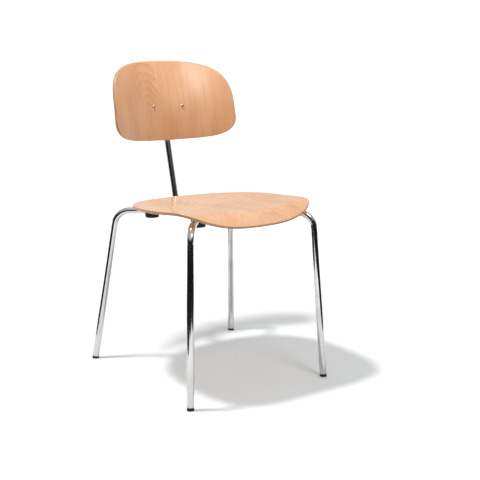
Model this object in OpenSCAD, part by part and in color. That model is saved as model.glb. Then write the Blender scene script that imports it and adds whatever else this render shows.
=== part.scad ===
// Stacking chair: two moulded plywood shells on a welded frame of bent steel tube.
// Millimetres, +Z up. The floor is Z = 0 and the front of the chair faces -Y.
// Each side of the frame is one tube: front leg, run under the seat, run back out, rear leg.
// The two side tubes meet under the seat, and the spine lies in the valley between them.

/* [Frame] */
// Outside diameter of every frame tube
tube_d = 18; // [14:0.5:22]
// Wall of every frame tube
tube_wall = 2; // [1:0.25:3]
// Height of the tube centres at the bends under the seat
frame_h = 436.6; // [360:0.1:530]
// Slope of the frame's runs, which rise towards the front
frame_pitch = 2.1; // [0:0.05:3]
// Distance between the left and right shoulders, where legs turn into runs
shoulder_w = 373; // [310:1:450]
// Distance between the front and rear shoulders
shoulder_d = 385.7; // [320:0.1:465]
// How far the front shoulders stand in front of the origin
shoulder_front = 218.1; // [180:0.1:260]
// Distance between the front feet, centre to centre
foot_w_front = 417; // [350:1:500]
// Distance between the rear feet, centre to centre
foot_w_rear = 464; // [390:1:560]
// How far a front foot stands in front of its shoulder
foot_out_front = 27; // [10:1:45]
// How far a rear foot stands behind its shoulder
foot_out_rear = 68; // [40:1:85]
// Centre-line radius of the bends between legs and runs
leg_bend_r = 44; // [40:1:58]
// Centre-line radius of the bend where a side tube turns back under the seat
plan_bend_r = 36; // [30:1:45]
// How far that bend lies behind the origin
plan_bend_y = 5.3; // [-20:0.1:30]

/* [Spine] */
// Lean of the spine from upright
spine_lean = 14.7; // [8:0.1:20]
// Where the line of the spine meets the level of the frame
spine_y = 165.9; // [140:0.1:200]
// Centre-line radius of the bend behind the seat
spine_bend_r = 45; // [36:1:54]
// How far the spine runs in front of the joint with the side tubes
spine_front_run = 52; // [40:1:80]
// Height of the top end of the spine
spine_top_h = 728; // [650:1:850]

/* [Seat] */
// Width of the seat
seat_w = 433; // [370:1:500]
// Depth of the seat
seat_d = 404; // [340:1:480]
// Thickness of the seat plywood
seat_ply = 8; // [7.5:0.5:12]
// Distance of the widest line from the rear edge
seat_widest = 203.2; // [160:0.1:240]
// Height of the sides above the middle
seat_side_rise = 11; // [4:0.5:16]
// Height of the ridge under the thighs above the middle
seat_front_rise = 11; // [3:0.5:15]
// Fall of the front edge below the ridge's own curve
seat_front_roll = 36.5; // [20:0.5:45]
// Length of the front stretch that rolls down
seat_roll_len = 86.7; // [60:0.1:120]
// Air between the rear edge and the spine
seat_spine_gap = 1; // [0.5:0.5:8]
// Air between the tubes and the underside
seat_tube_gap = 1.6; // [1:0.1:3]

/* [Backrest] */
// Width of the backrest, measured round its curve
back_w = 397.5; // [330:0.5:485]
// Height of the backrest above its screws
back_up = 132.2; // [100:0.1:160]
// Height of the backrest below its screws
back_down = 93.6; // [75:0.1:120]
// Distance of the widest line below the screws
back_widest_drop = 43.2; // [20:0.1:60]
// Thickness of the backrest plywood
back_ply = 9; // [7:0.5:12]
// Radius of the backrest in plan
back_r = 340; // [280:1:600]
// Radius of the backrest's upright curve, which bulges towards the sitter
back_bulge_r = 660; // [500:10:2000]
// How much more upright than the spine the backrest stands at its screws
back_upright = 2.2; // [0:0.1:4]
// Height of the backrest's screws
back_screw_h = 702.7; // [600:0.1:800]
// Distance of each screw from the middle, measured round the curve
back_screw_x = 46; // [30:1:60]

/* [Bracket] */
// Thickness of the bracket strap
strap_t = 4; // [3:0.5:6]
// Height of the bracket strap
strap_h = 26; // [20:1:40]
// Length of the strap beyond each screw
strap_end = 13; // [10:1:20]
// Length of the spacers between strap and plywood
spacer_len = 7; // [6:0.5:12]
// Diameter of the spacers
spacer_d = 16; // [12:0.5:20]

/* [Pads and glides] */
// Diameter of a stacking pad
pad_d = 39; // [34:0.5:46]
// How far a pad hangs below the tube
pad_drop = 9.5; // [8:0.5:16]
// Distance of a front pad from its shoulder, along the tube
pad_run_front = 131; // [110:1:150]
// Distance of a rear pad from its shoulder, along the tube
pad_run_rear = 98; // [85:1:120]
// Height of glide that shows below the tube
glide_h = 8; // [6:0.5:12]
// Length of the glide's stem inside the tube
glide_stem = 22; // [15:1:35]

/* [Fasteners] */
// Thread diameter of the seat screws
seat_screw_d = 6; // [5:0.5:6]
// Head diameter of the seat screws
seat_head_d = 11; // [9:0.5:12]
// Head height of the seat screws
seat_head_h = 3.6; // [3:0.1:4]
// Thread diameter of the backrest screws
back_screw_d = 5; // [4:0.5:6]
// Head diameter of the backrest screws
back_head_d = 8.4; // [7:0.1:11]
// Head height of the backrest screws
back_head_h = 2.4; // [1.5:0.1:3.5]

/* [Hidden] */

// Clearances, shared by every pair that fits together
fit = 0.15; // between a plastic piece and the tube that it holds
mouth = 0.05; // at the mouth of a pad's groove, on each side of the tube
slip = 0.3; // round a screw in a plain hole
thread_gap = 0.05; // round a screw in its thread
seat_face = 0.3; // between a pad and the underside of the seat
eps = 0.01; // overlap that keeps cuts clean
bend_swell = 0.2; // how far a tube's wall swells out through a bend
bend_lap = 1; // how far a straight reaches into a bend

tube_r = tube_d / 2;
bore_r = tube_r - tube_wall;
round_fn = 48;

// ---- Vectors -------------------------------------------------------------------------------

function unit(v) = v / norm(v);
function mirrored(p, side) = [side * p[0], p[1], p[2]];

// Turns the Z axis onto direction d and moves the origin to p
module aim(p, d) {
    translate(p)
        rotate([0, acos(d[2] / norm(d)), atan2(d[1], d[0])])
            children();
}

// ---- Tubes ---------------------------------------------------------------------------------
// A tube follows a list of corners. Each inner corner has its own bend radius, and the legs of
// the tube stop where that bend starts.

function turn(p, i) = acos(unit(p[i] - p[i - 1]) * unit(p[i + 1] - p[i]));
function bend_reach(p, r, i) =
    i == 0 || i == len(p) - 1 ? 0 : r[i - 1] * tan(turn(p, i) / 2);

module straight(p, q, radius) {
    aim(p, q - p)
        cylinder(h = norm(q - p), r = radius, $fn = round_fn);
}

module bend(before, corner, after, bend_r, radius) {
    along = unit(corner - before);
    out = unit(after - corner);
    angle = acos(along * out);
    inward = unit(out - along * (along * out));
    axis = cross(along, inward);
    centre = corner - along * bend_r * tan(angle / 2) + inward * bend_r;
    multmatrix([
        [-inward[0], along[0], axis[0], centre[0]],
        [-inward[1], along[1], axis[1], centre[1]],
        [-inward[2], along[2], axis[2], centre[2]]
    ])
        rotate_extrude(angle = angle, $fn = 2 * round_fn)
            translate([bend_r, 0])
                circle(r = radius, $fn = round_fn);
}

// Each straight laps a little way into its bends, where the tube swells slightly
module rod(p, bend_radii, radius) {
    for (i = [0:len(p) - 2]) {
        along = unit(p[i + 1] - p[i]);
        straight(
            p[i] + along * (bend_reach(p, bend_radii, i) - (i > 0 ? bend_lap : 0)),
            p[i + 1] - along * (bend_reach(p, bend_radii, i + 1) - (i < len(p) - 2 ? bend_lap : 0)),
            radius
        );
    }
    for (i = [1:len(p) - 2])
        bend(p[i - 1], p[i], p[i + 1], bend_radii[i - 1], radius + bend_swell);
}

module tube(p, bend_radii) {
    difference() {
        rod(p, bend_radii, tube_r);
        rod(p, bend_radii, bore_r);
    }
}

// ---- Layout of the frame -------------------------------------------------------------------
// side is -1 for the tube at -X (the sitter's right) and 1 for the tube at +X.
// fore is -1 for the front and 1 for the rear.

shoulder_rear = shoulder_d - shoulder_front;
bend_tube_r = tube_r + bend_swell;
plan_centre = [bend_tube_r + plan_bend_r, plan_bend_y];

// The runs lie in one plane, which slopes about the bends under the seat
function tip(v) = [v[0], v[1] * cos(frame_pitch), -v[1] * sin(frame_pitch)];
function on_frame(v) = [0, plan_bend_y, frame_h] + tip([v[0], v[1] - plan_bend_y]);

function flat_shoulder(fore) = [shoulder_w / 2, fore < 0 ? -shoulder_front : shoulder_rear];
function shoulder(fore) = on_frame(flat_shoulder(fore));
function foot(fore) =
    fore < 0
        ? [foot_w_front / 2, -shoulder_front - foot_out_front, 0]
        : [foot_w_rear / 2, shoulder_rear + foot_out_rear, 0];
function leg_axis(fore) = unit(shoulder(fore) - foot(fore));
function leg_end(fore) = foot(fore) + leg_axis(fore) * glide_h / leg_axis(fore)[2];

// A run leaves its shoulder as a tangent to the bend under the seat
function to_centre(fore) = plan_centre - flat_shoulder(fore);
function run_angle(fore) =
    atan2(to_centre(fore)[1], to_centre(fore)[0])
    - fore * asin(plan_bend_r / norm(to_centre(fore)));
function flat_run(fore) = [cos(run_angle(fore)), sin(run_angle(fore))];
function run_axis(fore) = tip(flat_run(fore));

// The two runs of one side cross at the corner of that bend
function cross2(a, b) = a[0] * b[1] - a[1] * b[0];
function plan_corner() =
    let (
        a = flat_shoulder(-1),
        b = flat_shoulder(1),
        reach = cross2(b - a, flat_run(1)) / cross2(flat_run(-1), flat_run(1))
    )
    on_frame(a + flat_run(-1) * reach);

function side_path(side) = [
    for (p = [leg_end(-1), shoulder(-1), plan_corner(), shoulder(1), leg_end(1)])
        mirrored(p, side)
];
side_bends = [leg_bend_r, plan_bend_r, leg_bend_r];

// The spine rests in the valley between the two side tubes
spine_touch = tube_r + bend_tube_r;
spine_drop = sqrt(spine_touch * spine_touch - bend_tube_r * bend_tube_r);
spine_low = frame_h - spine_drop;
spine_axis = [0, sin(spine_lean), cos(spine_lean)];
function spine_at(h) = [0, spine_y + (h - frame_h) * tan(spine_lean), h];
spine_bend_y = spine_at(spine_low)[1] - spine_bend_r * tan((90 - spine_lean) / 2);
spine_bend_top = spine_low + spine_bend_r;
// Where the front of the spine lies at height h, in its bend or above it
function spine_front(h) =
    let (below = min(max(spine_bend_top - h, 0), spine_bend_r - tube_r))
    min(
        spine_bend_y + sqrt(pow(spine_bend_r - tube_r, 2) - below * below),
        spine_at(h)[1] - tube_r / cos(spine_lean)
    );
spine_start = [0, plan_bend_y - spine_front_run, spine_low];
spine_path = [spine_start, spine_at(spine_low), spine_at(spine_top_h)];

// ---- Plywood shells ------------------------------------------------------------------------
// A shell is a stack of closed rings. Each ring is the outline, drawn in by inset and scaled by
// size, at a depth below the face. The ring list goes out over the face, round the rounded edge
// and back in under the other face.

rim_points = 72;
face_rings = [0.18, 0.36, 0.54, 0.72, 0.87];
edge_steps = [15, 45, 75];

function shell_rings(ply, edge_r) = concat(
    [for (size = face_rings) [size, edge_r, 0]],
    [[1, edge_r, 0]],
    [for (a = edge_steps) [1, edge_r * (1 - sin(a)), edge_r * (1 - cos(a))]],
    [[1, 0, edge_r], [1, 0, ply - edge_r]],
    [for (a = edge_steps) [1, edge_r * (1 - cos(a)), ply - edge_r * (1 - sin(a))]],
    [[1, edge_r, ply]],
    [for (i = [len(face_rings) - 1:-1:0]) [face_rings[i], edge_r, ply]]
);

// outline(a, inset) gives a flat point on the rim. place(u, v, depth) puts it on the shell.
module ply_shell(ply, edge_r, middle, outline, place) {
    rings = shell_rings(ply, edge_r);
    turns = len(rings);
    points = concat(
        [place(middle[0], middle[1], 0)],
        [
            for (ring = rings, i = [0:rim_points - 1])
                let (
                    rim = outline(360 * i / rim_points, ring[1]),
                    flat = middle + (rim - middle) * ring[0]
                )
                place(flat[0], flat[1], ring[2])
        ],
        [place(middle[0], middle[1], ply)]
    );
    function at(k, i) = 1 + k * rim_points + i % rim_points;
    last = len(points) - 1;
    faces = concat(
        [for (i = [0:rim_points - 1]) [0, at(0, i + 1), at(0, i)]],
        [
            for (k = [0:turns - 2], i = [0:rim_points - 1], half = [0, 1])
                half == 0
                    ? [at(k, i), at(k, i + 1), at(k + 1, i + 1)]
                    : [at(k, i), at(k + 1, i + 1), at(k + 1, i)]
        ],
        [for (i = [0:rim_points - 1]) [last, at(turns - 1, i), at(turns - 1, i + 1)]]
    );
    polyhedron(points = points, faces = faces);
}

// A superellipse: half sizes a and b, with its own power in each direction
function power(v, e) = sign(v) * pow(abs(v), e);
function oval(angle, a, b, pa, pb) =
    [a * power(cos(angle), 2 / pa), b * power(sin(angle), 2 / pb)];

// Moves a rim point in by inset, square to the rim
function inset_point(f, angle, inset) =
    let (
        step = 0.5,
        ahead = f(angle + step),
        behind = f(angle - step),
        t = unit(ahead - behind)
    )
    f(angle) + inset * [-t[1], t[0]];

// ---- Seat ----------------------------------------------------------------------------------

seat_edge_r = 3;
seat_half = seat_w / 2;
seat_top = frame_h + tube_r + seat_tube_gap + seat_ply;
seat_rear_y = spine_front(seat_top - seat_ply) - seat_spine_gap;
seat_wide_y = seat_rear_y - seat_widest;
seat_front_y = seat_rear_y - seat_d;
seat_ridge_y = seat_front_y + seat_roll_len;

// The front half is squarer than the rear half
seat_front_powers = [4.1, 2.95];
seat_rear_powers = [2.5, 2.2];
// The sides rise most at the thighs and least at the rear
seat_side_taper = 5.5;
seat_roll_power = 2.1;
seat_side_power = 2.2;
// The roll falls less at the front corners
seat_corner_lift = 12.5;
// The middle climbs slightly towards the rear edge
seat_rear_rise = 1;
seat_rise_ref = 200;

seat_rim = function(angle)
    sin(angle) < 0
        ? [0, seat_wide_y] + oval(
            angle, seat_half, seat_wide_y - seat_front_y, seat_front_powers[0], seat_front_powers[1]
        )
        : [0, seat_wide_y] + oval(
            angle, seat_half, seat_rear_y - seat_wide_y, seat_rear_powers[0], seat_rear_powers[1]
        );

function seat_z(x, y) =
    let (
        v = y / seat_rise_ref,
        roll = pow(max(0, (seat_ridge_y - y) / seat_roll_len), seat_roll_power),
        across = pow(abs(x) / seat_half, seat_side_power),
        rise = (v < 0 ? seat_front_rise : seat_rear_rise) * v * v,
        side = (seat_side_rise - seat_side_taper * v) * across
    )
    seat_top + rise + side - roll * (seat_front_roll - seat_corner_lift * across);

function seat_normal(x, y) =
    unit([
        seat_z(x - 1, y) - seat_z(x + 1, y),
        seat_z(x, y - 1) - seat_z(x, y + 1),
        2
    ]);

function seat_point(x, y, depth) = [x, y, seat_z(x, y)] - depth * seat_normal(x, y);

// Height of the underside over a point of the plan
function seat_under(x, y) = seat_z(x, y) - seat_ply / seat_normal(x, y)[2];

// ---- Pads and the screws through them ------------------------------------------------------

function pad_at(fore) =
    shoulder(fore) + run_axis(fore) * (fore < 0 ? pad_run_front : pad_run_rear);
function pad_under(fore) = seat_under(pad_at(fore)[0], pad_at(fore)[1]);

pad_round = 2.5;
function pad_bottom(fore) = pad_at(fore)[2] - tube_r - pad_drop;
pad_taper = 0.8;
pad_skirt = 5;
washer_t = 1;
seat_head_depth = seat_head_h + washer_t + 0.6;
seat_washer_d = seat_head_d + 1.4;
insert_d = 9;
insert_len = min(6, seat_ply - 2.5);
insert_inset = 0.4;
function head_z(fore) = pad_bottom(fore) + seat_head_depth;

module each_pad() {
    for (side = [-1, 1], fore = [-1, 1])
        translate([side * pad_at(fore)[0], pad_at(fore)[1], 0])
            mirror([side < 0 ? 1 : 0, 0, 0])
                children(fore < 0 ? 0 : 1);
}

// Everything below the plane that touches the underside over a point of the plan
module below_seat(x, y, gap) {
    size = 2 * pad_d;
    aim([x, y, seat_under(x, y)], seat_normal(x, y))
        translate([-size, -size, -gap - 2 * size])
            cube([2 * size, 2 * size, 2 * size]);
}

// A round block with a groove for the tube, a countersunk hole and a top that follows the seat
module pad(side, fore) {
    centre = mirrored(pad_at(fore), side);
    along = mirrored(run_axis(fore), side);
    tall = pad_drop + tube_d + 20;
    r = pad_d / 2;
    color("#1b1b1c")
        difference() {
            intersection() {
                translate([centre[0], centre[1], pad_bottom(fore)])
                    rotate_extrude($fn = round_fn)
                        polygon(concat(
                            [[0, 0]],
                            [
                                for (a = [0:22.5:90])
                                    [
                                        r - pad_taper - pad_round * (1 - sin(a)),
                                        pad_round * (1 - cos(a))
                                    ]
                            ],
                            [[r, pad_round + pad_skirt], [r, tall], [0, tall]]
                        ));
                below_seat(centre[0], centre[1], seat_face);
            }
            aim(centre - along * pad_d, along)
                cylinder(h = 2 * pad_d, r = tube_r + fit, $fn = round_fn);
            translate(centre)
                rotate([0, 0, atan2(along[1], along[0])])
                    translate([-pad_d, -tube_r - mouth, 0])
                        cube([2 * pad_d, tube_d + 2 * mouth, tall]);
            translate([centre[0], centre[1], pad_bottom(fore) - eps]) {
                cylinder(h = seat_head_depth + eps, d = seat_washer_d + 1, $fn = round_fn);
                cylinder(h = pad_drop + tube_r, d = seat_screw_d + 2 * slip, $fn = round_fn);
            }
        }
}

// ---- Frame nodes ---------------------------------------------------------------------------

module side_tube(side) {
    color("#c9ccd0")
        difference() {
            tube(side_path(side), side_bends);
            for (fore = [-1, 1])
                translate(mirrored(pad_at(fore), side) - [0, 0, tube_d])
                    cylinder(h = 2 * tube_d, d = seat_screw_d + 2 * slip, $fn = round_fn);
        }
}

module spine_tube() {
    color("#c9ccd0")
        tube(spine_path, [spine_bend_r]);
}

// A round plug: a stem in the bore and a low dome over the tube's end
module end_plug(p, outward) {
    stem = 14;
    dome = 2.5;
    color("#1b1b1c")
        aim(p, outward)
            rotate_extrude($fn = round_fn)
                polygon([
                    [0, -stem],
                    [bore_r - fit - 1, -stem],
                    [bore_r - fit, -stem + 2],
                    [bore_r - fit, 0],
                    [tube_r, 0],
                    [tube_r, dome - 1.2],
                    [tube_r - 0.5, dome - 0.4],
                    [tube_r - 1.6, dome],
                    [0, dome]
                ]);
}

module glide(side, fore) {
    p = mirrored(leg_end(fore), side);
    down = -mirrored(leg_axis(fore), side);
    reach = glide_h / -down[2] + tube_r;
    rib = 0.6;
    flare = 1.2;
    bevel = 1.5;
    floor_point = mirrored(foot(fore), side);
    color("#1b1b1c")
        intersection() {
            aim(p, down)
                rotate_extrude($fn = round_fn)
                    polygon(concat(
                        [[0, -glide_stem], [bore_r - fit - 1.5, -glide_stem]],
                        [
                            for (k = [3:-1:1])
                                each [
                                    [bore_r - fit - rib, -k * glide_stem / 4],
                                    [bore_r - fit, -k * glide_stem / 4 + 0.5],
                                    [bore_r - fit - rib, -k * glide_stem / 4 + 2]
                                ]
                        ],
                        [[bore_r - fit - rib, 0], [tube_r, 0], [tube_r, reach], [0, reach]]
                    ));
            translate([floor_point[0], floor_point[1], 0]) {
                cylinder(h = bevel, r1 = tube_r - 0.4, r2 = tube_r + flare, $fn = round_fn);
                translate([-2 * tube_d, -2 * tube_d, bevel - eps])
                    cube([4 * tube_d, 4 * tube_d, glide_h + glide_stem + tube_d]);
            }
        }
}

module frame_welds() {
    bead_r = 3.2;
    bead_len = 22;
    hug = 3.6;
    lean = asin(bend_tube_r / spine_touch);
    color("#b4b7bb")
        difference() {
            union() {
                for (side = [-1, 1])
                    translate([
                        side * (bend_tube_r / 2 + hug * cos(lean)),
                        plan_bend_y - bead_len / 2,
                        spine_low + spine_drop / 2 - hug * sin(lean)
                    ])
                        rotate([-90, 0, 0])
                            cylinder(h = bead_len, r = bead_r, $fn = round_fn);
                translate([0, plan_bend_y - bead_len / 2, frame_h + hug])
                    rotate([-90, 0, 0])
                        cylinder(h = bead_len, r = bead_r, $fn = round_fn);
            }
            for (side = [-1, 1])
                rod(side_path(side), side_bends, tube_r);
            straight(spine_start, spine_at(spine_low), tube_r);
        }
}

// ---- Backrest ------------------------------------------------------------------------------
// The backrest lives in its own upright frame: X across, Y back, Z up, with its origin on the
// front face midway between the screws. lean_back() tips that frame into the chair.

back_edge_r = 3;
back_lean = spine_lean - back_upright;
back_top_powers = [2.4, 3.6];
back_low_powers = [6.5, 1.95];
strap_gap = 0.25;
weld_r = 2.2;
// The screws' heads and the spacers are flat, and stand this far off the curved plywood
face_gap = 0.5;
spacer_relief = 0.15;

// The strap's rear face stands just off the front of the spine
back_stack = back_ply + spacer_len + strap_t;
strap_corner = strap_h / 2 * tan(back_upright);
spine_front_y = spine_at(back_screw_h)[1] - tube_r / cos(spine_lean);
back_y = spine_front_y - (back_stack + strap_gap + strap_corner) / cos(back_lean);

module lean_back() {
    translate([0, back_y, back_screw_h])
        rotate([-back_lean, 0, 0])
            children();
}

back_rim = function(angle)
    sin(angle) < 0
        ? [0, -back_widest_drop] + oval(
            angle, back_w / 2, back_down - back_widest_drop, back_low_powers[0], back_low_powers[1]
        )
        : [0, -back_widest_drop] + oval(
            angle, back_w / 2, back_up + back_widest_drop, back_top_powers[0], back_top_powers[1]
        );

// u runs round the curve, v runs up. The face bends forward at the sides and back at top and foot.
function back_point(u, v, depth) =
    let (
        angle = 180 * u / (PI * back_r),
        tip = asin(v / back_bulge_r),
        r = back_r + depth * cos(tip) + (1 - cos(tip)) * back_bulge_r
    )
    [r * sin(angle), r * cos(angle) - back_r, v - depth * sin(tip)];

// Places a piece on the axis of a backrest screw, Z pointing out of the front face
module each_back_screw() {
    turn = 180 * back_screw_x / (PI * back_r);
    lean_back()
        translate([0, -back_r, 0])
            for (side = [-1, 1])
                rotate([0, 0, -side * turn])
                    translate([0, back_r, 0])
                        rotate([90, 0, 0])
                            children();
}

module seat_shell() {
    color("#d9a878")
        difference() {
            ply_shell(
                seat_ply, seat_edge_r, [0, (seat_rear_y + seat_front_y) / 2],
                function(angle, inset) inset_point(seat_rim, angle, inset),
                function(u, v, depth) seat_point(u, v, depth)
            );
            each_pad() {
                translate([0, 0, pad_under(-1) - 3])
                    cylinder(h = insert_inset + insert_len + 3.2, d = insert_d + 0.1, $fn = round_fn);
                translate([0, 0, pad_under(1) - 3])
                    cylinder(h = insert_inset + insert_len + 3.2, d = insert_d + 0.1, $fn = round_fn);
            }
        }
}

module back_shell() {
    color("#d9a878")
        difference() {
            lean_back()
                ply_shell(
                    back_ply, back_edge_r, [0, (back_up - back_down) / 2],
                    function(angle, inset) inset_point(back_rim, angle, inset),
                    function(u, v, depth) back_point(u, v, depth)
                );
            each_back_screw()
                translate([0, 0, -2 * back_ply])
                    cylinder(h = 3 * back_ply, d = back_screw_d + 2 * slip, $fn = round_fn);
        }
}

// A steel strap curved to the backrest, with two holes
module back_bracket() {
    half_turn = 180 * (back_screw_x + strap_end) / (PI * back_r);
    inner = back_r + back_ply + spacer_len;
    color("#c9ccd0")
        difference() {
            lean_back()
                translate([0, -back_r, 0])
                    rotate([0, 0, 90 - half_turn])
                        rotate_extrude(angle = 2 * half_turn, $fn = 4 * round_fn)
                            translate([inner, -strap_h / 2])
                                square([strap_t, strap_h]);
            each_back_screw()
                translate([0, 0, -back_stack - 5])
                    cylinder(h = back_stack + 5, d = back_screw_d + 2 * slip, $fn = round_fn);
        }
}

// Two beads down the sides of the spine, where the strap meets it
module bracket_welds() {
    bead_x = 6;
    color("#b4b7bb")
        difference() {
            lean_back()
                for (side = [-1, 1])
                    translate([side * bead_x, back_stack + 1.2, -strap_h / 2 + 2])
                        cylinder(h = strap_h - 4, r = weld_r, $fn = round_fn);
            straight(spine_at(spine_low), spine_at(spine_top_h), tube_r);
            lean_back()
                translate([-strap_h, back_stack - strap_h, -strap_h])
                    cube([2 * strap_h, strap_h, 2 * strap_h]);
        }
}

// ---- Fasteners -----------------------------------------------------------------------------

module pan_screw(d, head_d, head_h, length) {
    socket = 0.55 * head_h;
    difference() {
        union() {
            translate([0, 0, -length])
                cylinder(h = length + eps, d = d, $fn = round_fn);
            cylinder(h = head_h * 0.45, d = head_d, $fn = round_fn);
            translate([0, 0, head_h * 0.45])
                cylinder(h = head_h * 0.55, d1 = head_d, d2 = head_d * 0.62, $fn = round_fn);
        }
        translate([0, 0, head_h - socket])
            cylinder(h = head_h, d = d * 0.62, $fn = 6);
    }
}

module ring(outer_d, inner_d, h) {
    difference() {
        cylinder(h = h, d = outer_d, $fn = round_fn);
        translate([0, 0, -eps])
            cylinder(h = h + 2 * eps, d = inner_d, $fn = round_fn);
    }
}

// Turns a screw over so that its head points down
module head_down(z) {
    translate([0, 0, z])
        mirror([0, 0, 1])
            children();
}

module seat_screw(fore) {
    head_down(head_z(fore) - washer_t)
        pan_screw(
            seat_screw_d, seat_head_d, seat_head_h,
            pad_under(fore) + insert_inset + insert_len - 0.6 - head_z(fore) + washer_t
        );
}

module seat_screws() {
    color("#a9acb0")
        each_pad() {
            seat_screw(-1);
            seat_screw(1);
        }
}

module seat_washers() {
    color("#b9bcc0")
        for (side = [-1, 1], fore = [-1, 1])
            translate([side * pad_at(fore)[0], pad_at(fore)[1], head_z(fore) - washer_t])
                ring(seat_washer_d, seat_screw_d + 2 * slip, washer_t);
}

module seat_inserts() {
    color("#b9a14a")
        for (side = [-1, 1], fore = [-1, 1])
            translate([side * pad_at(fore)[0], pad_at(fore)[1], pad_under(fore) + insert_inset])
                ring(insert_d, seat_screw_d + 2 * thread_gap, insert_len);
}

back_washer_t = 1.2;
back_nut_h = 4;

module back_screws() {
    color("#c9ccd0")
        each_back_screw()
            translate([0, 0, face_gap])
                pan_screw(
                    back_screw_d, back_head_d, back_head_h,
                    face_gap + back_stack + back_washer_t + back_nut_h + 1.5
                );
}

module back_spacers() {
    color("#1b1b1c")
        each_back_screw()
            translate([0, 0, -back_ply - spacer_len + spacer_relief])
                ring(spacer_d, back_screw_d + 2 * slip, spacer_len - 2 * spacer_relief);
}

module back_washers() {
    color("#b9bcc0")
        each_back_screw()
            translate([0, 0, -back_stack - back_washer_t])
                ring(2.2 * back_screw_d, back_screw_d + 2 * slip, back_washer_t);
}

module back_nuts() {
    color("#b9bcc0")
        each_back_screw()
            translate([0, 0, -back_stack - back_washer_t - back_nut_h])
                difference() {
                    cylinder(h = back_nut_h, d = 1.8 * back_screw_d, $fn = 6);
                    translate([0, 0, -eps])
                        cylinder(h = back_nut_h + 2 * eps, d = back_screw_d + 2 * thread_gap, $fn = round_fn);
                }
}

// ---- Nodes ---------------------------------------------------------------------------------

seat_shell();
back_shell();
side_tube(1);  // left_side_tube
side_tube(-1);  // right_side_tube
spine_tube();
end_plug(spine_start, [0, -1, 0]);  // spine_front_plug
end_plug(spine_at(spine_top_h), spine_axis);  // spine_top_plug
back_bracket();
frame_welds();
bracket_welds();
pad(1, -1);  // pad_front_left
pad(-1, -1);  // pad_front_right
pad(1, 1);  // pad_rear_left
pad(-1, 1);  // pad_rear_right
glide(1, -1);  // glide_front_left
glide(-1, -1);  // glide_front_right
glide(1, 1);  // glide_rear_left
glide(-1, 1);  // glide_rear_right
seat_screws();
seat_washers();
seat_inserts();
back_screws();
back_spacers();
back_washers();
back_nuts();
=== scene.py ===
# %% [markdown]
# # A stacking chair of moulded plywood and bent tube
# The chair has two shells of pressed beech plywood on a frame of chromed steel tube. Each side of
# the frame is one tube, bent three times, and a third tube carries the backrest. This script
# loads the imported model, gives every node its finish, and makes the shells, the tubes and the
# small metal parts again as smoother pieces that fill the same space.

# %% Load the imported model
import math

import bmesh
import bpy
from mathutils import Matrix, Vector
from mathutils.geometry import intersect_line_line_2d


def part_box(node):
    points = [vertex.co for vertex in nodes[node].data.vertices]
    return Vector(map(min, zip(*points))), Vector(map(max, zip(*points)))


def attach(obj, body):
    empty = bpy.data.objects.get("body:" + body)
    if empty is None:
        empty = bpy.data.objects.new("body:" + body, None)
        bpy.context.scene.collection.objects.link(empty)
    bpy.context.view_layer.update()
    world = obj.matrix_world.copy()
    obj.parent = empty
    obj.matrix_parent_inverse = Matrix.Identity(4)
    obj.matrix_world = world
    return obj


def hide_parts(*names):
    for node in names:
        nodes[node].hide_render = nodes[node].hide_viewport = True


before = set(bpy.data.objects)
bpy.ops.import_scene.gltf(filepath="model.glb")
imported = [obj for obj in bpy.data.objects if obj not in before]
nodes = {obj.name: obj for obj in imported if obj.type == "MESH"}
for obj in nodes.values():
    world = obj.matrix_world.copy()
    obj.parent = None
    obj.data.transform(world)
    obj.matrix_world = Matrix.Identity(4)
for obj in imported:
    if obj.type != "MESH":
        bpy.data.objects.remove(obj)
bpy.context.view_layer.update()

# %% [markdown]
# ## Sizes
# The sizes are the ones that the workshop drawing gives, in millimetres, because plywood and tube
# are bought and bent in whole millimetres. Every piece is drawn in them and shrunk to metres as
# the last thing before it becomes an object.

# %% Sizes of the frame
tube_r = 9
tube_wall = 2
frame_height = 436.6
frame_slope = math.radians(2.1)
leg_bend = 44
plan_bend = 36
plan_bend_y = 5.3
side_gap = 0.2
shoulder_x = 373 / 2
shoulder_y = {"front": -218.1, "rear": 385.7 - 218.1}
foot = {
    "front": Vector((417 / 2, shoulder_y["front"] - 27, 0)),
    "rear": Vector((464 / 2, shoulder_y["rear"] + 68, 0)),
}
glide_height = 8

# %% [markdown]
# The spine is the one tube that carries the backrest. It leans back, and its height under the seat
# follows from where it lies: in the valley under the two side tubes, touching both.

# %% Sizes of the spine
spine_lean = math.radians(14.7)
spine_y = 165.9
spine_bend = 45
spine_start = -52
spine_top = 728
spine_low = frame_height - math.sqrt((2 * tube_r + side_gap) ** 2 - (tube_r + side_gap) ** 2)


def spine_at(height):
    """The middle of the spine's leaning part at a height."""
    return Vector((0, spine_y + (height - frame_height) * math.tan(spine_lean), height))


print("spine passes under the side tubes at", round(spine_low, 1), "mm")

# %% [markdown]
# Both shells are plywood, and the backrest is one millimetre thicker than the seat.

# %% Thickness of the plywood
seat_ply = 8
back_ply = 9
print("plywood of the seat:", seat_ply, "mm, of the backrest:", back_ply, "mm")

# %% [markdown]
# ## From a drawing to an object
# A bmesh is a loose drawing of a mesh. Every piece goes through this one helper, which turns its
# faces outwards, keeps its corners sharp, shrinks it to metres, shades the rest smooth and lets it
# ride on the chair.

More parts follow.
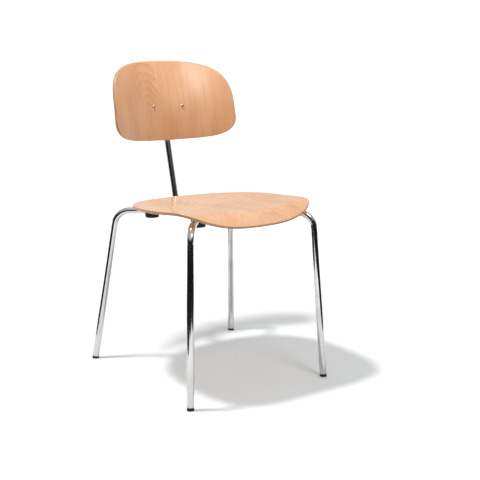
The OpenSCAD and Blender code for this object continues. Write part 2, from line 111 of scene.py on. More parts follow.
# %% Turn a drawing into a piece
def make_piece(name, drawing, finish, stands_for, outwards=True):
    """Makes an object from a drawing in millimetres."""
    if outwards:
        bmesh.ops.remove_doubles(drawing, verts=drawing.verts, dist=0.001)
        bmesh.ops.recalc_face_normals(drawing, faces=drawing.faces)
    bmesh.ops.scale(drawing, vec=(0.001, 0.001, 0.001), verts=drawing.verts)
    for edge in drawing.edges:
        edge.smooth = edge.calc_face_angle(0) < math.radians(35)
    mesh = bpy.data.meshes.new(name)
    drawing.to_mesh(mesh)
    drawing.free()
    mesh.polygons.foreach_set("use_smooth", [True] * len(mesh.polygons))
    piece = bpy.data.objects.new(name, mesh)
    bpy.context.scene.collection.objects.link(piece)
    mesh.materials.append(finish.material)
    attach(piece, "root")
    if stands_for:
        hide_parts(*stands_for)
    print(name, "has", len(mesh.polygons), "faces")
    return piece


# %% [markdown]
# ## Shader sums
# A finish is a small recipe of sums on patterns. Written node by node it is hard to read, so one
# small class wraps a socket and lets Python's own signs add the Math nodes. A second class holds
# the material and makes every other node.

# %% A socket that can be used in a sum
class Wire:
    """A shader socket that turns arithmetic into Math nodes."""

    def __init__(self, recipe, socket):
        self.recipe = recipe
        self.socket = socket

    def math(self, operation, *values):
        return self.recipe.node("Math", {"operation": operation}, dict(enumerate(values)))

    def __add__(self, other):
        return self.math("ADD", self, other)

    def __sub__(self, other):
        return self.math("SUBTRACT", self, other)

    def __rsub__(self, other):
        return self.math("SUBTRACT", other, self)

    def __mul__(self, other):
        return self.math("MULTIPLY", self, other)

    def __truediv__(self, other):
        return self.math("DIVIDE", self, other)

    def __pow__(self, other):
        return self.math("POWER", self, other)

    __radd__ = __add__
    __rmul__ = __mul__

    def fract(self):
        return self.math("FRACT", self)


# %% [markdown]
# The second class makes nodes. Settings come first, because some of them change which sockets a
# node has, and then the sockets get a number, a colour or a wire.

# %% A recipe of nodes
class Recipe:
    """A node tree, and the one way to put a node in it."""

    def __init__(self, tree):
        self.tree = tree

    def node(self, kind, settings, sockets, out=0):
        """Adds a node: first its settings, then the values or wires of its sockets."""
        made = self.tree.nodes.new("ShaderNode" + kind)
        for key, value in settings.items():
            setattr(made, key, value)
        for key, value in sockets.items():
            if isinstance(value, Wire):
                self.tree.links.new(value.socket, made.inputs[key])
            else:
                made.inputs[key].default_value = value
        return Wire(self, made.outputs[out])

    def mix(self, share, first, second):
        """A colour between two colours."""
        return self.node("Mix", {"data_type": "RGBA"}, {0: share, 6: first, 7: second}, out=2)

    def between(self, value, low, high):
        """0 below low and 1 above high, with a soft step between them."""
        settings = {"interpolation_type": "SMOOTHSTEP"}
        return self.node("MapRange", settings, {0: value, 1: low, 2: high})

    def noise(self, place, scale, detail=2.0, roughness=0.5):
        sockets = {"Vector": place, "Scale": scale, "Detail": detail, "Roughness": roughness}
        return self.node("TexNoise", {}, sockets)


# %% [markdown]
# A material is such a recipe that ends in one Principled shader. Numbers that are the same all over
# a piece sit on the shader's own sockets, and only what varies is wired in.

# %% A recipe that ends in a shader
class Finish(Recipe):
    """A material with one Principled shader."""

    def __init__(self, name, **plain):
        self.material = bpy.data.materials.new(name)
        self.material.use_nodes = True
        super().__init__(self.material.node_tree)
        self.shader = self.tree.nodes["Principled BSDF"]
        for socket, value in plain.items():
            self.shader.inputs[socket.replace("_", " ")].default_value = value

    def feed(self, socket, wire):
        self.tree.links.new(wire.socket, self.shader.inputs[socket])

    def own_place(self):
        """Where a point lies on the object itself, in metres."""
        return self.node("TexCoord", {}, {}, out="Object")

    def bumps(self, height, distance, strength=1.0):
        sockets = {"Height": height, "Distance": distance, "Strength": strength}
        self.feed("Normal", self.node("Bump", {}, sockets))


# %% [markdown]
# ## Lacquered beech
# Beech veneer is cut from the log as a wide flat sheet, so its growth rings show as tall arches in
# the middle and as straight lines at the sides. The arches are level lines of a parabola. Fine
# fibres run along the sheet, and short brown flecks are the rays of the wood. The pattern is read
# from each shell's own flat sheet, which the press bent together with the wood. The rim shows the
# layers of the plywood, light and dark in turn.

# %% Lacquered beech
def beech(name, ply, arch_u, arch_v, spread, period, tones):
    """Veneer whose arches have their top at a point of the flat sheet, in millimetres."""
    wood = Finish(
        name,
        Coat_Weight=0.8,
        Coat_Roughness=0.27,
        Coat_IOR=1.5,
        Specular_IOR_Level=0.4,
    )
    sheet = wood.node("Attribute", {"attribute_name": "sheet"}, {}, out="Vector")
    u, v, depth = [wood.node("SeparateXYZ", {}, {0: sheet}, out=axis) for axis in range(3)]

    def spot(across, along):
        """The sheet stretched, so that a pattern is long with the grain."""
        return wood.node("CombineXYZ", {}, {0: u * across, 1: v * along, 2: depth * 0.2})

    sway = wood.noise(spot(0.012, 0.004), 1.0, 2.0) - 0.5
    side = u + sway * 34 - arch_u
    rings = (v - arch_v + side * side / spread) / period + sway * 3.4
    late = rings.fract() ** 2.2
    share = wood.between(wood.noise(spot(0.02, 0.006), 1.0, 1.0), 0.3, 0.75)
    fibre = wood.noise(spot(0.9, 0.02), 1.0, 4.0, 0.6)
    streak = wood.noise(spot(0.16, 0.004), 1.0, 2.0)
    cloud = wood.noise(spot(0.009, 0.006), 1.0, 2.0)
    fleck = wood.between(wood.noise(spot(0.85, 0.12), 1.0, 1.0), 0.66, 0.78)

    pale, mid, warm, fleck_tone = tones
    colour = wood.mix(wood.between(cloud, 0.3, 0.7), pale, mid)
    colour = wood.mix(late * share * 0.6, colour, warm)
    colour = wood.mix(wood.between(streak, 0.45, 0.75) * 0.35, colour, warm)
    colour = wood.mix(wood.between(fibre, 0.45, 0.8) * 0.35, colour, warm)
    colour = wood.mix(fleck * 0.5, colour, fleck_tone)

    layer = wood.between((depth / 2.3 + sway * 0.05).fract(), 0.42, 0.58)
    ends = wood.noise(spot(0.9, 0.9), 1.0, 3.0, 0.7)
    rim_tone = wood.mix(layer * 0.7 + ends * 0.3, (0.48, 0.25, 0.115, 1), (0.24, 0.11, 0.05, 1))
    on_rim = wood.node("Attribute", {"attribute_name": "rim"}, {}, out="Fac")
    rim = on_rim * wood.between(depth, 0.5, 1.1) * wood.between(ply - depth, 0.5, 1.1)
    wood.feed("Base Color", wood.mix(rim, colour, rim_tone))
    wood.feed("Roughness", 0.44 + fibre * 0.12 + rim * 0.15)
    wood.bumps(fibre * (1 - fleck * 0.5), 0.00008, 0.35)
    return wood


seat_beech = beech(
    "seat_beech", ply=seat_ply, arch_u=30, arch_v=60, spread=105, period=38,
    tones=(
        (0.66, 0.38, 0.21, 1), (0.60, 0.32, 0.155, 1),
        (0.47, 0.205, 0.08, 1), (0.28, 0.11, 0.045, 1),
    ),
)
back_beech = beech(
    "back_beech", ply=back_ply, arch_u=-62, arch_v=88, spread=36, period=25,
    tones=(
        (0.65, 0.355, 0.188, 1), (0.585, 0.295, 0.142, 1),
        (0.42, 0.182, 0.072, 1), (0.25, 0.10, 0.038, 1),
    ),
)
print("wood finishes:", seat_beech.material.name, back_beech.material.name)

# %% [markdown]
# ## Chrome and the other finishes
# Chrome plate is almost a mirror. What makes it look real is what it mirrors, and the slight haze
# of polish and handling, which changes its roughness from place to place. The plastic is moulded
# with a fine grain, and the small fasteners are zinc plated, which is duller and mottled.

# %% Metals and plastic
def metal(name, colour, dull, haze, coarse):
    """A metal whose roughness and tone change a little from place to place."""
    plate = Finish(name, Metallic=1.0)
    cloud = plate.noise(plate.own_place(), coarse, 3.0)
    fine = plate.noise(plate.own_place(), coarse * 22, 2.0)
    darker = tuple(0.86 * part for part in colour[:3]) + (1,)
    plate.feed("Base Color", plate.mix(plate.between(cloud, 0.35, 0.75), colour, darker))
    plate.feed("Roughness", dull + haze * plate.between(cloud, 0.3, 0.7) + 0.3 * haze * fine)
    return plate


chrome = metal("chrome_plate", (0.61, 0.60, 0.59, 1), dull=0.07, haze=0.012, coarse=26)
zinc = metal("zinc_plate", (0.60, 0.60, 0.62, 1), dull=0.28, haze=0.16, coarse=160)
# The backrest screws' steel is tinted warm brown. That tint is a painted reflection of the wood
# round them, laid over the steel's own grey.
steel_painted_wood_reflection = metal("bright_steel", (0.66, 0.58, 0.48, 1), dull=0.14, haze=0.08, coarse=120)
brass = metal("plain_brass", (0.68, 0.50, 0.22, 1), dull=0.26, haze=0.12, coarse=140)

weld = metal("plated_weld", (0.62, 0.62, 0.64, 1), dull=0.20, haze=0.10, coarse=90)
weld.bumps(weld.noise(weld.own_place(), 420, 2.0), 0.0003, 0.6)

plastic = Finish("black_plastic", Specular_IOR_Level=0.3)
grain = plastic.noise(plastic.own_place(), 1900, 2.0)
scuff = plastic.between(plastic.noise(plastic.own_place(), 130, 3.0), 0.5, 0.75)
plastic.feed("Base Color", plastic.mix(scuff, (0.010, 0.010, 0.011, 1), (0.022, 0.022, 0.023, 1)))
plastic.feed("Roughness", 0.46 + scuff * 0.14 + grain * 0.08)
plastic.bumps(grain, 0.00005, 0.5)

# %% [markdown]
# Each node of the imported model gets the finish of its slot. What isn't in the list is one of the
# moulded parts: pads, glides, plugs and spacers, all of black plastic.

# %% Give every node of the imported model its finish
slot_finish = {
    "plywood": back_beech,
    "chrome": chrome,
    "weld": weld,
    "black_plastic": plastic,
    "zinc_steel": zinc,
    "bright_steel": steel_painted_wood_reflection,
    "brass": brass,
}
node_slot = {
    "seat_shell": "plywood",
    "back_shell": "plywood",
    "left_side_tube": "chrome",
    "right_side_tube": "chrome",
    "spine_tube": "chrome",
    "back_bracket": "chrome",
    "frame_welds": "weld",
    "bracket_welds": "weld",
    "seat_screws": "zinc_steel",
    "seat_washers": "zinc_steel",
    "back_washers": "zinc_steel",
    "back_nuts": "zinc_steel",
    "back_screws": "bright_steel",
    "seat_inserts": "brass",
}
for name, node in nodes.items():
    slot = node_slot.get(name, "black_plastic")
    node.data.materials.clear()
    node.data.materials.append(slot_finish[slot].material)
print("finished", len(nodes), "nodes")

# %% [markdown]
# ## The bent tubes
# A tube bender pushes a straight tube round a former, stretch by stretch. The drawing does the
# same: it starts from a circle, pulls it along each straight, and spins it round the middle of
# each bend. At the end the skin gets its wall, so that the tube is hollow.

# %% Bend a tube
def bent_tube(name, corners, bends, finish, stands_for):
    """A hollow tube through a list of corners, with a bend radius at each inner corner."""
    drawing = bmesh.new()
    ways = [(b - a).normalized() for a, b in zip(corners, corners[1:])]
    turns = [a.angle(b) for a, b in zip(ways, ways[1:])]
    reach = [bend * math.tan(turn / 2) for bend, turn in zip(bends, turns)]
    aim = Matrix.Translation(corners[0]) @ ways[0].to_track_quat("Z", "Y").to_matrix().to_4x4()
    ring = bmesh.ops.create_circle(drawing, segments=40, radius=tube_r, matrix=aim)["verts"]
    edges = list({edge for vert in ring for edge in vert.link_edges})
    here = corners[0]
    for i, way in enumerate(ways):
        stop = corners[i + 1] - way * (reach[i] if i < len(reach) else 0)
        made = bmesh.ops.extrude_edge_only(drawing, edges=edges)["geom"]
        ends = {item for item in made if isinstance(item, bmesh.types.BMVert)}
        bmesh.ops.translate(drawing, verts=list(ends), vec=stop - here)
        edges = [e for e in made if isinstance(e, bmesh.types.BMEdge) and set(e.verts) <= ends]
        here = stop
        if i < len(bends):
            axis = way.cross(ways[i + 1]).normalized()
            middle = here + axis.cross(way) * bends[i]
            made = bmesh.ops.spin(
                drawing, geom=edges, cent=middle, axis=axis, angle=turns[i], steps=16
            )["geom_last"]
            edges = [item for item in made if isinstance(item, bmesh.types.BMEdge)]
            here = corners[i + 1] + ways[i + 1] * reach[i]
    bmesh.ops.remove_doubles(drawing, verts=drawing.verts, dist=0.001)
    bmesh.ops.recalc_face_normals(drawing, faces=drawing.faces)
    bmesh.ops.solidify(drawing, geom=drawing.faces, thickness=tube_wall)
    piece = make_piece(name, drawing, finish, stands_for, outwards=False)
    return piece


# %% [markdown]
# The runs under the seat lie in one plane that slopes down to the rear by about two degrees. Each
# side tube comes in from the front leg, turns back under the middle of the seat, and goes out to
# the rear leg, so its two runs are tangents to that bend.

# %% The two side tubes
def on_frame(x, y):
    """A point of the sloping plane of the runs."""
    along = y - plan_bend_y
    drop = along * math.sin(frame_slope)
    return Vector((x, plan_bend_y + along * math.cos(frame_slope), frame_height - drop))


def run_way(end, turn):
    """The flat direction of a run, from its shoulder to the bend under the seat."""
    to_bend = Vector((tube_r + side_gap + plan_bend - shoulder_x, plan_bend_y - shoulder_y[end]))
    angle = math.atan2(to_bend.y, to_bend.x) + turn * math.asin(plan_bend / to_bend.length)
    return Vector((math.cos(angle), math.sin(angle)))


flat = {end: Vector((shoulder_x, shoulder_y[end])) for end in ("front", "rear")}
far = {end: flat[end] + run_way(end, turn) * 600 for end, turn in (("front", 1), ("rear", -1))}
crossing = intersect_line_line_2d(flat["front"], far["front"], flat["rear"], far["rear"])
shoulder = {end: on_frame(*flat[end]) for end in flat}
print("the runs of one side cross at", [round(part, 1) for part in crossing])


def leg_end(end):
    """Where the tube stops, above the glide."""
    leg = shoulder[end] - foot[end]
    return foot[end] + leg * (glide_height / leg.z)


side_path = [
    leg_end("front"), shoulder["front"], on_frame(*crossing), shoulder["rear"], leg_end("rear")
]
for name, side in (("left_side", 1), ("right_side", -1)):
    path = [Vector((side * p.x, p.y, p.z)) for p in side_path]
    bends = [leg_bend, plan_bend, leg_bend]
    bent_tube(name + "_bent", path, bends, chrome, [name + "_tube"])

# %% [markdown]
# The spine starts in front of the joint, runs back in the valley under the two side tubes, and
# turns up behind the seat in one bend.

# %% The spine
spine_path = [
    Vector((0, plan_bend_y + spine_start, spine_low)), spine_at(spine_low), spine_at(spine_top)
]
bent_tube("spine_bent", spine_path, [spine_bend], chrome, ["spine_tube"])

# %% [markdown]
# ## The plywood shells
# A shell is pressed from a flat sheet and then cut out and rounded at its edge. The drawing
# follows the same order. Half a section of the sheet, with its rounded edge, is spun into a round
# cake. Then each point of the cake moves to its place: first out to the outline, then down onto
# the press. Each point keeps its place on the flat sheet as an attribute, for the grain.

# %% Spin a round cake and press it
edge_r = 3
face_steps = [
    0, 0.07, 0.14, 0.21, 0.28, 0.35, 0.42, 0.49, 0.56, 0.63, 0.7, 0.77, 0.84, 0.91, 0.96, 0.99
]


def cake_stations(ply):
    """The half section: how far out, how far in from the rim, how deep, and rim or face."""
    top = [(size, edge_r, 0, 0) for size in face_steps]
    quarter = [math.radians(a) for a in (0, 18, 36, 54, 72, 90)]
    upper = [(1, edge_r * (1 - math.sin(a)), edge_r * (1 - math.cos(a)), 1) for a in quarter]
    lower = [(1, edge_r * (1 - math.cos(a)), ply - edge_r * (1 - math.sin(a)), 1) for a in quarter]
    under = [(size, edge_r, ply, 0) for size in reversed(face_steps)]
    return top + upper + lower + under


def press_shell(name, ply, middle, rim, place, finish, stands_for):
    """A plywood shell: rim(angle, inset) is its outline and place(u, v, depth) is the press."""
    stations = cake_stations(ply)
    drawing = bmesh.new()
    half = [drawing.verts.new((s[0], 0, k)) for k, s in enumerate(stations)]
    section = [drawing.edges.new(pair) for pair in zip(half, half[1:])]
    bmesh.ops.spin(
        drawing, geom=half + section, cent=(0, 0, 0), axis=(0, 0, 1),
        angle=math.tau, steps=160, use_merge=True,
    )
    bmesh.ops.remove_doubles(drawing, verts=drawing.verts, dist=0.00001)
    sheet = drawing.verts.layers.float_vector.new("sheet")
    rim_layer = drawing.verts.layers.float.new("rim")
    for vert in drawing.verts:
        size, inset, depth, on_rim = stations[round(vert.co.z)]
        edge = rim(math.atan2(vert.co.y, vert.co.x), inset)
        spot = middle.lerp(edge, size)
        vert[sheet] = (spot.x, spot.y, depth)
        vert[rim_layer] = on_rim
        vert.co = place(spot.x, spot.y, depth)
    piece = make_piece(name, drawing, finish, stands_for)
    return piece


# %% [markdown]
# Both outlines are superellipses: fuller than an ellipse, with their own power along each axis.
# The front of the seat is squarer than its rear, and the foot of the backrest squarer than its top.

# %% Outlines
def swell(value, power):
    return math.copysign(abs(value) ** power, value)


def oval(angle, half_width, reach, powers):
    """A point of a superellipse."""
    across = half_width * swell(math.cos(angle), 2 / powers[0])
    return Vector((across, reach * swell(math.sin(angle), 2 / powers[1])))


def drawn_in(outline, angle, inset):
    """A point of an outline, moved in by inset, square to the rim."""
    step = math.radians(0.5)
    along = (outline(angle + step) - outline(angle - step)).normalized()
    return outline(angle) + inset * Vector((-along.y, along.x))


# %% [markdown]
# ## The seat
# The seat is almost flat where one sits, rises a little to the sides and under the thighs, and
# rolls down at the front so that it doesn't press behind the knees. Its height is one formula of
# the place on the plan, and the thickness is laid off square to that surface.

# %% The seat's outline
seat_half = 433 / 2
seat_depth = 404
rear_to_widest = 203.2
front_powers = (4.1, 2.95)
rear_powers = (2.5, 2.2)
seat_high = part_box("seat_shell")[1] * 1000
seat_rear = seat_high.y
seat_front = seat_rear - seat_depth
seat_wide = seat_rear - rear_to_widest


def seat_outline(angle):
    middle = Vector((0, seat_wide))
    if math.sin(angle) < 0:
        return middle + oval(angle, seat_half, seat_wide - seat_front, front_powers)
    return middle + oval(angle, seat_half, seat_rear - seat_wide, rear_powers)


print("seat from", round(seat_front, 1), "to", round(seat_rear, 1), "mm")

# %% [markdown]
# The front roll is a power of the distance past a ridge, so it starts without a crease. Its corners
# roll down less than its middle, which is what gives the front edge its smile.

# %% The seat's surface
seat_tube_gap = 1.6
seat_top = frame_height + tube_r + seat_tube_gap + seat_ply
roll_length = 86.7
roll_power = 2.1
front_roll = 36.5
corner_lift = 12.5
ridge = seat_front + roll_length
side_rise = 11
side_taper = 5.5
side_power = 2.2
front_rise = 11
rear_rise = 1
rise_length = 200


def seat_height(x, y):
    v = y / rise_length
    roll = max(0, (ridge - y) / roll_length) ** roll_power
    across = (abs(x) / seat_half) ** side_power
    rise = (front_rise if v < 0 else rear_rise) * v * v
    sides = (side_rise - side_taper * v) * across
    return seat_top + rise + sides - roll * (front_roll - corner_lift * across)


def seat_press(x, y, depth):
    """A point on the seat, some way below its face."""
    slope_x = seat_height(x - 1, y) - seat_height(x + 1, y)
    slope_y = seat_height(x, y - 1) - seat_height(x, y + 1)
    return Vector((x, y, seat_height(x, y))) - depth * Vector((slope_x, slope_y, 2)).normalized()


press_shell(
    "seat_plywood", seat_ply, Vector((0, (seat_front + seat_rear) / 2)),
    lambda angle, inset: drawn_in(seat_outline, angle, inset),
    seat_press, seat_beech, ["seat_shell"],
)

# %% [markdown]
# ## The backrest
# The backrest is bent round the sitter on a large radius, and its middle bulges forward to hold
# the small of the back. It is drawn upright, with its origin between its two screws, and then
# tipped back to the lean of the chair.

# %% The backrest's press
back_r = 340
bulge_r = 660
back_lean = math.radians(12.5)
screw_height = 702.7
screw_u = 46
back_half = 397.5 / 2
back_up, back_down, widest_drop = 132.2, 93.6, 43.2
top_powers = (2.4, 3.6)
low_powers = (6.5, 1.95)
spacer_len, strap_t, strap_h = 7, 4, 26
strap_gap = 0.25
back_stack = back_ply + spacer_len + strap_t
strap_corner = strap_h / 2 * math.tan(abs(spine_lean - back_lean))
spine_face = spine_at(screw_height).y - tube_r / math.cos(spine_lean)
back_y = spine_face - (back_stack + strap_gap + strap_corner) / math.cos(back_lean)
lean_back = (
    Matrix.Translation((0, back_y, screw_height)) @ Matrix.Rotation(-back_lean, 4, "X")
)


def back_outline(angle):
    middle = Vector((0, -widest_drop))
    if math.sin(angle) < 0:
        return middle + oval(angle, back_half, back_down - widest_drop, low_powers)
    return middle + oval(angle, back_half, back_up + widest_drop, top_powers)


def back_press(u, v, depth):
    """A point on the backrest: u round the curve, v up, depth behind the face."""
    tip = math.asin(v / bulge_r)
    r = back_r + depth * math.cos(tip) + (1 - math.cos(tip)) * bulge_r
    turn = u / back_r
    upright = (r * math.sin(turn), r * math.cos(turn) - back_r, v - depth * math.sin(tip))
    return lean_back @ Vector(upright)


rim_in = 0.1
press_shell(
    "backrest_plywood", back_ply, Vector((0, (back_up - back_down) / 2)),
    lambda angle, inset: drawn_in(back_outline, angle, inset + rim_in),
    back_press, back_beech, ["back_shell"],
)

# %% [markdown]
# ## The strap behind the backrest
# A flat steel strap joins the backrest to the spine. A rolling machine bends it to the curve of
# the plywood. The drawing starts with the small cross section, rounds its four corners, and then
# spins it along the bend, which also leaves both ends closed.

# %% The strap behind the backrest
strap_end = 13
strap_round = 0.9
strap_inner = back_r + back_ply + spacer_len
strap_turn = (screw_u + strap_end) / back_r
strap = bmesh.new()
bmesh.ops.create_grid(strap, x_segments=1, y_segments=1, size=0.5)
bmesh.ops.scale(strap, vec=(strap_t, strap_h, 1), verts=strap.verts)
bmesh.ops.bevel(
    strap, geom=strap.verts[:], offset=strap_round, affect="VERTICES",
    segments=4, profile=0.5, material=-1,
)
strap_middle = Matrix.Translation((strap_inner + strap_t / 2, 0, 0))
stand_up = strap_middle @ Matrix.Rotation(math.pi / 2, 4, "X")
aim = Matrix.Rotation(math.pi / 2 - strap_turn, 4, "Z") @ stand_up
bmesh.ops.transform(strap, matrix=aim, verts=strap.verts)
bmesh.ops.spin(
    strap, geom=strap.verts[:] + strap.edges[:] + strap.faces[:], cent=(0, 0, 0), axis=(0, 0, 1),
    angle=2 * strap_turn, steps=28,
)
curve_place = lean_back @ Matrix.Translation((0, -back_r, 0))
bmesh.ops.transform(strap, matrix=curve_place, verts=strap.verts)
make_piece("strap_curved", strap, chrome, ["back_bracket"])

# %% [markdown]
# ## Round things: screws and weld beads
# A screw is turned on a lathe, and a bead of weld is laid as a row of small round pools, so both
# are spun from half of their outline. The recess of the screw starts as a round hole, and its
# points are then moved onto a hexagon, as the punch does that makes it.

# %% Spin a half outline
def turned(drawing, outline):
    """Spins (radius, height) points round Z, and gives back the new points."""
    before = set(drawing.verts)
    half = [drawing.verts.new((radius, 0, height)) for radius, height in outline]
    section = [drawing.edges.new(pair) for pair in zip(half, half[1:])]
    bmesh.ops.spin(
        drawing, geom=half + section, cent=(0, 0, 0), axis=(0, 0, 1),
        angle=math.tau, steps=36, use_merge=True,
    )
    return [vert for vert in drawing.verts if vert not in before]


# %% [markdown]
# Two screws hold the backrest and four hold the seat from below. They have the same form in two
# sizes: a domed head, a hexagonal recess and a plain shank.

# %% The screws
def screw(drawing, thread, head, rise, length, place):
    """A pan head screw whose head stands up from the origin."""
    key = 0.31 * thread
    lip = 1.15 * key
    outline = [(0, 0.4 * rise), (key, 0.4 * rise), (key, 0.97 * rise)]
    for step in range(8):
        angle = math.radians(step * 90 / 7)
        radius = lip + (head / 2 - lip) * math.sin(angle)
        outline.append((radius, rise * (0.25 + 0.75 * math.cos(angle))))
    outline += [(head / 2, 0), (thread / 2, 0), (thread / 2, -length), (0, -length)]
    made = turned(drawing, outline)
    for vert in made:
        if vert.co.z > 0 and vert.co.xy.length < 1.01 * key:
            angle = math.atan2(vert.co.y, vert.co.x) % (math.pi / 3) - math.pi / 6
            vert.co.xy *= math.cos(math.pi / 6) / math.cos(angle)
    bmesh.ops.transform(drawing, matrix=place, verts=made)


face_gap = 0.5
past_strap = 6.7
back_shank = face_gap + back_stack + past_strap
back_set = bmesh.new()
for side in (-1, 1):
    on_curve = Matrix.Rotation(side * screw_u / back_r, 4, "Z") @ Matrix.Translation((0, back_r, 0))
    outwards = Matrix.Rotation(math.pi / 2, 4, "X") @ Matrix.Translation((0, 0, face_gap))
    place = curve_place @ on_curve @ outwards
    screw(back_set, thread=5, head=8.4, rise=2.4, length=back_shank, place=place)
make_piece("backrest_screws", back_set, steel_painted_wood_reflection, ["back_screws"])

head_recess = 4.2
in_the_seat = 4
seat_set = bmesh.new()
for pad in ("front_left", "front_right", "rear_left", "rear_right"):
    low, high = [corner * 1000 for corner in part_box("pad_" + pad)]
    under_head = low.z + head_recess
    place = Matrix.Translation(((low.x + high.x) / 2, (low.y + high.y) / 2, under_head))
    upside_down = Matrix.Rotation(math.pi, 4, "X")
    shank = high.z - under_head + in_the_seat
    screw(seat_set, thread=6, head=11, rise=3.6, length=shank, place=place @ upside_down)
make_piece("seat_pad_screws", seat_set, zinc, ["seat_screws"])

# %% [markdown]
# Three beads join the two side tubes and the spine, and two join the strap to the spine. A bead
# tapers off at both ends and has a ripple for each step of the torch.

# %% The beads of weld
torch_step = 2.2


def bead(drawing, thick, length, place):
    """A rippled bead that starts at the origin and runs up."""
    outline = []
    for step in range(61):
        along = step / 60
        full = max(0, 1 - abs(2 * along - 1) ** 7) ** 0.5
        ripple = 1 + 0.06 * math.sin(math.tau * length / torch_step * along)
        outline.append((thick * full * ripple, length * along))
    made = turned(drawing, outline)
    bmesh.ops.transform(drawing, matrix=place, verts=made)


middle = tube_r + side_gap
slope = math.asin(middle / (2 * tube_r + side_gap))
bead_off = 3.6
bead_length = 22
side_x = middle / 2 + bead_off * math.cos(slope)
side_z = (spine_low + frame_height) / 2 - bead_off * math.sin(slope)
along_y = Matrix.Rotation(-math.pi / 2, 4, "X")
joint = bmesh.new()
for x, z in ((side_x, side_z), (-side_x, side_z), (0, frame_height + bead_off)):
    start = Matrix.Translation((x, plan_bend_y - bead_length / 2, z))
    bead(joint, thick=3.1, length=bead_length, place=start @ along_y)
make_piece("joint_beads", joint, weld, ["frame_welds"])

bead_margin = 2
bead_x = 6
bead_out = 1.2
strap_joint = bmesh.new()
for side in (-1, 1):
    start = Matrix.Translation((side * bead_x, back_stack + bead_out, bead_margin - strap_h / 2))
    length = strap_h - 2 * bead_margin
    bead(strap_joint, thick=2.2, length=length, place=lean_back @ start)
make_piece("strap_beads", strap_joint, weld, ["bracket_welds"])

# %% [markdown]
# ## Floor, light and camera
# The chair stands on a plain pale floor. One high lamp at the sitter's right throws the shadow of
# the seat to the left, and a large soft lamp in front gives the lacquer its sheen. The studio is
# white behind the chair and dark on the viewer's side, because chrome needs something dark to
# mirror. A studio lays black cloth beside the paper for that. Here the cloth is seen by
# mirror rays only, so it never shows. The floor glows faintly away from the chair, so that it
# stays white out of reach of the lamps.

# %% The floor
floor_drawing = bmesh.new()
bmesh.ops.create_grid(floor_drawing, x_segments=1, y_segments=1, size=40)
floor_mesh = bpy.data.meshes.new("floor")
floor_drawing.to_mesh(floor_mesh)
floor_drawing.free()
floor = bpy.data.objects.new("floor", floor_mesh)
bpy.context.scene.collection.objects.link(floor)
paper = Finish("pale_floor", Base_Color=(0.88, 0.905, 0.92, 1), Roughness=0.9)
paper.shader.inputs["Specular IOR Level"].default_value = 0.1
paper.shader.inputs["Emission Strength"].default_value = 0.7
away = paper.node("VectorMath", {"operation": "LENGTH"}, {0: paper.own_place()}, out="Value")
glow = paper.between(away, 0.5, 1.8)
paper.feed("Emission Color", paper.mix(glow, (0, 0, 0, 1), (1, 1, 1, 1)))
floor_mesh.materials.append(paper.material)

# %% [markdown]
# The cloth lies in three pieces: in front of the chair, to its left and to its right. Its near
# edges decide how far down each leg the dark stripes run.

# %% Black cloth for the chrome to mirror
view_way = Vector((0.553, 0.807, 0)).normalized()
side_way = Vector((view_way.y, -view_way.x, 0))
cloth_finish = Finish("black_cloth", Base_Color=(0.02, 0.02, 0.021, 1), Roughness=1.0)
cloth_finish.shader.inputs["Specular IOR Level"].default_value = 0.0


def lay_cloth(name, near, far, left, right):
    """A rectangle on the floor, measured along the line of sight and across it."""
    drawing = bmesh.new()
    bmesh.ops.create_grid(drawing, x_segments=1, y_segments=1, size=0.5)
    bmesh.ops.scale(drawing, vec=(right - left, far - near, 1), verts=drawing.verts)
    turn = Matrix.Rotation(math.atan2(side_way.y, side_way.x), 3, "Z")
    bmesh.ops.rotate(drawing, matrix=turn, verts=drawing.verts)
    middle = view_way * (near + far) / 2 + side_way * (left + right) / 2
    bmesh.ops.translate(drawing, vec=middle + Vector((0, 0, 0.001)), verts=drawing.verts)
    mesh = bpy.data.meshes.new(name)
    drawing.to_mesh(mesh)
    drawing.free()
    mesh.materials.append(cloth_finish.material)
    cloth = bpy.data.objects.new(name, mesh)
    bpy.context.scene.collection.objects.link(cloth)
    cloth.visible_camera = cloth.visible_diffuse = cloth.visible_shadow = False


lay_cloth("cloth_front", near=-40, far=-1.6, left=-30, right=30)
lay_cloth("cloth_left", near=-1.6, far=0.5, left=-7, right=-0.62)
lay_cloth("cloth_right", near=-1.6, far=0.5, left=0.9, right=7)

# %% [markdown]
# The high lamp is small, so its shadow has a clear edge that softens with distance. The soft lamp
# is large, so its sheen on the lacquer has no edge at all.

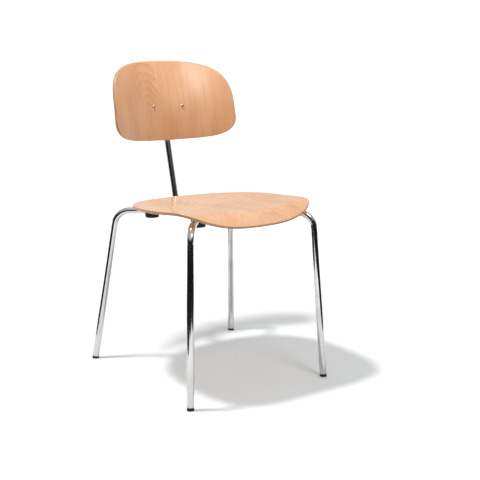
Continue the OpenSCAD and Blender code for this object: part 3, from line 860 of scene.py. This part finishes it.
# %% The two lamps
def hang_lamp(name, place, target, size, power):
    """A round lamp that faces a point of the chair."""
    lamp_data = bpy.data.lights.new(name, "AREA")
    lamp_data.shape = "DISK"
    lamp_data.size = size
    lamp_data.energy = power
    lamp = bpy.data.objects.new(name, lamp_data)
    bpy.context.scene.collection.objects.link(lamp)
    lamp.location = place
    lamp.rotation_euler = (Vector(target) - Vector(place)).to_track_quat("-Z", "Y").to_euler()
    print(name, "hangs at", round(place[2], 2), "m")


hang_lamp("high_lamp", place=(-0.506, 0.13, 2.211), target=(-0.3, 0, 0), size=0.2, power=33)
hang_lamp("soft_lamp", place=(0.12, -2.25, 2.55), target=(0, 0.2, 0.75), size=1.0, power=21)

# %% [markdown]
# The studio is one recipe of directions. Rays from the camera see plain white. All other rays see
# white behind the chair, and almost black on the viewer's side up to about 30 degrees.

# %% The studio round the chair
world = bpy.data.worlds.new("studio")
bpy.context.scene.world = world
world.use_nodes = True
studio = Recipe(world.node_tree)
way = studio.node("TexCoord", {}, {}, out="Generated")
to_viewer = {0: way, 1: -view_way}
facing = studio.node("VectorMath", {"operation": "DOT_PRODUCT"}, to_viewer, out="Value")
height = studio.node("SeparateXYZ", {}, {0: way}, out="Z")
dark = studio.between(facing, -0.25, 0.1) * (1 - studio.between(height, 0.3, 0.6))
tone = studio.mix(dark, (1, 1, 1, 1), (0.04, 0.04, 0.04, 1))
seen = studio.node("LightPath", {}, {}, out="Is Camera Ray")
sky = world.node_tree.nodes["Background"]
world.node_tree.links.new(studio.mix(seen, tone, (1.65, 1.65, 1.65, 1)).socket, sky.inputs["Color"])
sky.inputs["Strength"].default_value = 0.66
print("studio nodes:", len(world.node_tree.nodes))

# %% [markdown]
# The camera stands in front of the chair at its right, a little above the seat, with a long lens
# that keeps the legs almost parallel.

# %% The camera
camera_data = bpy.data.cameras.new("camera")
camera_data.lens = 67.3
camera_data.sensor_width = 36
camera = bpy.data.objects.new("camera", camera_data)
bpy.context.scene.collection.objects.link(camera)
camera.location = (-1.2675, -2.0038, 0.8562)
camera.rotation_euler = Vector((0.5530, 0.8072, -0.2066)).to_track_quat("-Z", "Y").to_euler()
bpy.context.scene.camera = camera
bpy.context.scene.view_settings.view_transform = "Standard"
print("camera", round(camera.location.length, 2), "m from the middle of the floor")
